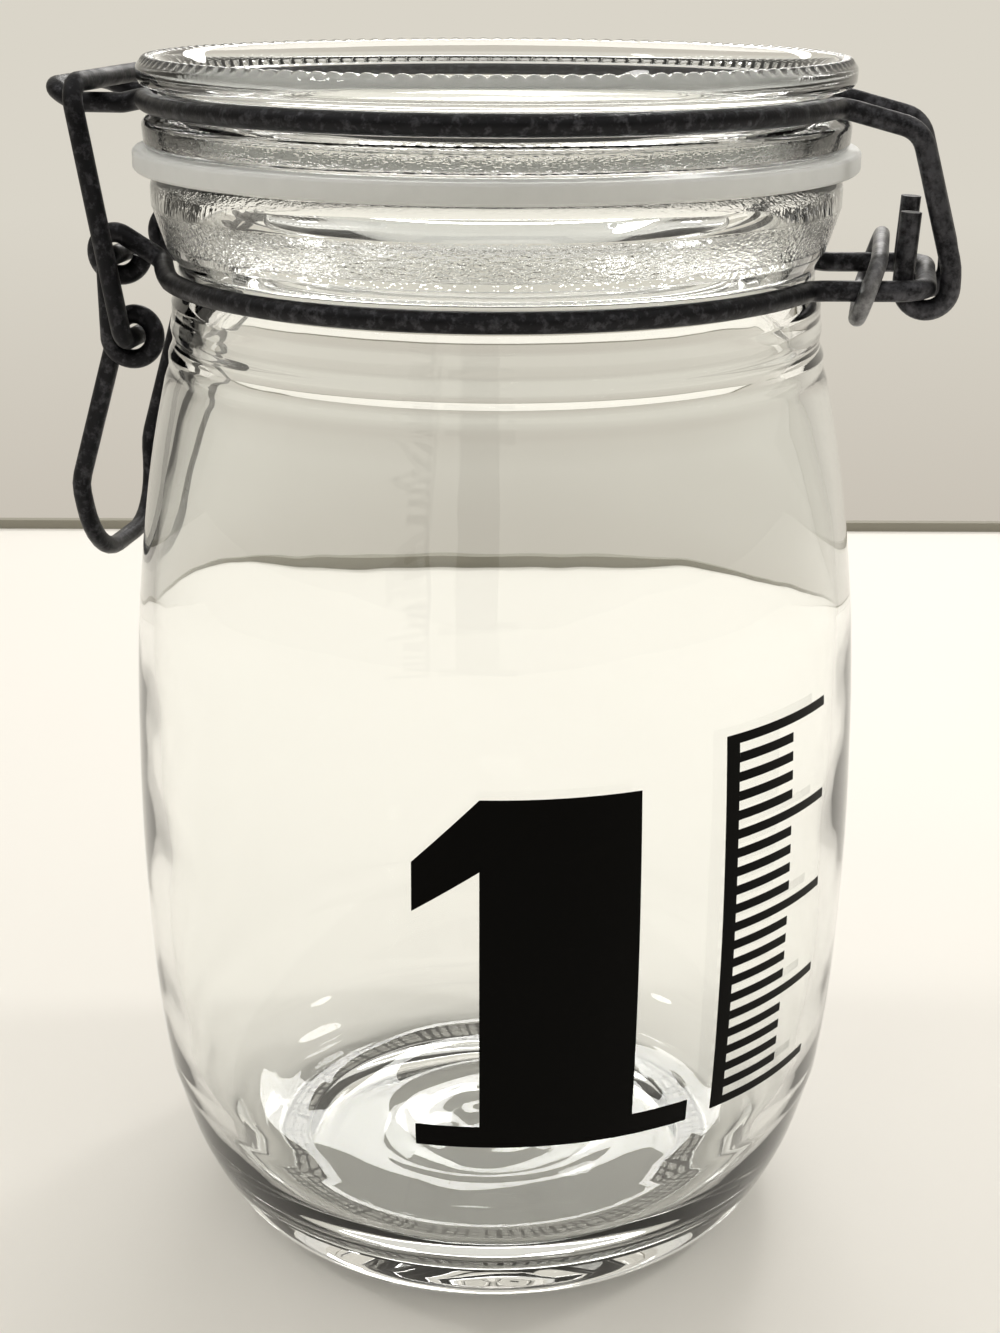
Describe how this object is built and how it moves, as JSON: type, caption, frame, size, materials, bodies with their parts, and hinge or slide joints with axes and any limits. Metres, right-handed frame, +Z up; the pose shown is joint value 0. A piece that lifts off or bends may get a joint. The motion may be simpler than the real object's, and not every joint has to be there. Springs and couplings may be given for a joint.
{
  "type": "lidded glass canister",
  "caption": "Clear glass storage jar with a dished glass lid on a wire hinge, a soft gasket, and a wire bail latch worked by a looped lever.",
  "frame": {"origin": "centre of the whole object's footprint on the surface it stands on, on the jar's axis to within about a millimetre", "axes": "+Z up along the jar's axis, +X towards the lid's hinge, -X towards the latch and its lever"},
  "size_m": [0.1273, 0.1082, 0.1752],
  "materials": {
    "jar_glass": "clear pressed glass with a faint green tint",
    "lid_glass": "clear pressed glass with a beaded rim",
    "gasket_rubber": "milky translucent soft rubber",
    "closure_steel": "dark patinated steel wire, worn grey in places"
  },
  "bodies": {
    "jar": {"jar_body": "jar_glass", "neck_wire": "closure_steel", "hinge_ring": "closure_steel"},
    "hinged_lid": {"lid": "lid_glass", "gasket": "gasket_rubber", "lid_wire": "closure_steel"},
    "latch_lever": {"lever": "closure_steel"},
    "latch_link": {"link": "closure_steel"}
  },
  "joints": [
    {"name": "lid_hinge", "type": "hinge", "parent": "jar", "child": "hinged_lid", "pos_m": [0.0602, 0, 0.1464], "axis": [0, 1, 0], "range_deg": [0, 110]},
    {"name": "lever_pivot", "type": "hinge", "parent": "jar", "child": "latch_lever", "pos_m": [-0.052, 0, 0.1479], "axis": [0, 1, 0], "range_deg": [0, 120]},
    {"name": "link_pivot", "type": "hinge", "parent": "latch_lever", "child": "latch_link", "pos_m": [-0.04895, 0, 0.1369], "axis": [0, 1, 0], "range_deg": [-92, 0]}
  ],
  "couplings": [
    {"joint": "link_pivot", "follows": "lever_pivot", "ratio": -0.75}
  ]
}
